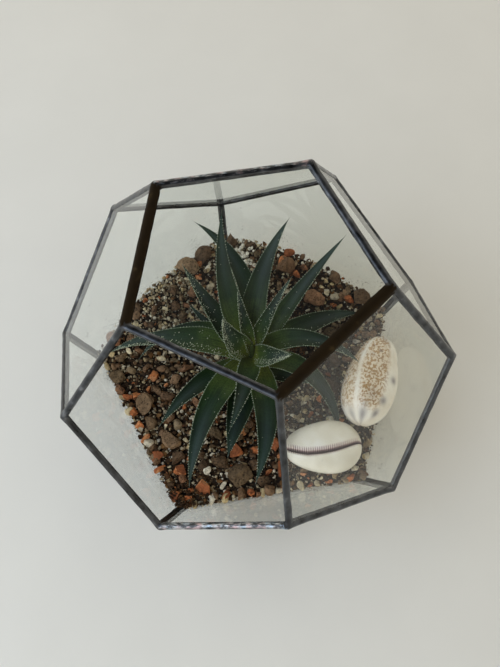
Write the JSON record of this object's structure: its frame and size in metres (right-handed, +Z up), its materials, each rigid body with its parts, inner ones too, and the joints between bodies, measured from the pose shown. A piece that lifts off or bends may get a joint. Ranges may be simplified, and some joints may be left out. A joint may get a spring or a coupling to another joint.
{
  "type": "glass plant terrarium",
  "caption": "Faceted glass case with soldered seams and an open face, planted with a tooth-edged rosette succulent in gritty soil beside cowrie shells.",
  "frame": {"origin": "on the ground under the middle of the case", "axes": "+Z up; the open face looks along -Y; the case is the same on both sides of X = 0"},
  "size_m": [0.2106, 0.2214, 0.1798],
  "materials": {
    "glass": "clear float glass, polished faces",
    "solder": "tin-lead solder over copper foil with a dark patina, satin",
    "soil": "dark peat and bark substrate, matt",
    "grit": "mixed brick chips, lava pebbles, pumice and quartz grit, matt",
    "stem": "short fleshy stem, matt",
    "leaf": "waxy dark green living leaf with white tubercles, soft sheen",
    "white_shell": "natural shell enamel, glossy, mauve between the teeth",
    "spotted_shell": "natural shell enamel, glossy, cream with brown speckles"
  },
  "bodies": {
    "root": {"cowrie_spotted": "spotted_shell", "cowrie_white": "white_shell", "leaf_01": "leaf", "leaf_02": "leaf", "leaf_03": "leaf", "leaf_04": "leaf", "leaf_05": "leaf", "leaf_06": "leaf", "leaf_07": "leaf", "leaf_08": "leaf", "leaf_09": "leaf", "leaf_10": "leaf", "leaf_11": "leaf", "leaf_12": "leaf", "leaf_13": "leaf", "leaf_14": "leaf", "leaf_15": "leaf", "leaf_16": "leaf", "leaf_17": "leaf", "leaf_18": "leaf", "leaf_19": "leaf", "leaf_20": "leaf", "leaf_21": "leaf", "pane_bottom": "glass", "pane_lower_1": "glass", "pane_lower_2": "glass", "pane_lower_3": "glass", "pane_lower_4": "glass", "pane_lower_5": "glass", "pane_top": "glass", "pane_upper_2": "glass", "pane_upper_3": "glass", "pane_upper_4": "glass", "pane_upper_5": "glass", "seam_bottom_ring": "solder", "seam_lower_1": "solder", "seam_lower_2": "solder", "seam_lower_3": "solder", "seam_lower_4": "solder", "seam_lower_5": "solder", "seam_middle_1": "solder", "seam_middle_10": "solder", "seam_middle_2": "solder", "seam_middle_3": "solder", "seam_middle_4": "solder", "seam_middle_5": "solder", "seam_middle_6": "solder", "seam_middle_7": "solder", "seam_middle_8": "solder", "seam_middle_9": "solder", "seam_top_ring": "solder", "seam_upper_1": "solder", "seam_upper_2": "solder", "seam_upper_3": "solder", "seam_upper_4": "solder", "seam_upper_5": "solder", "soil_bed": "soil", "stem": "stem", "top_dressing": "grit"}
  },
  "joints": []
}
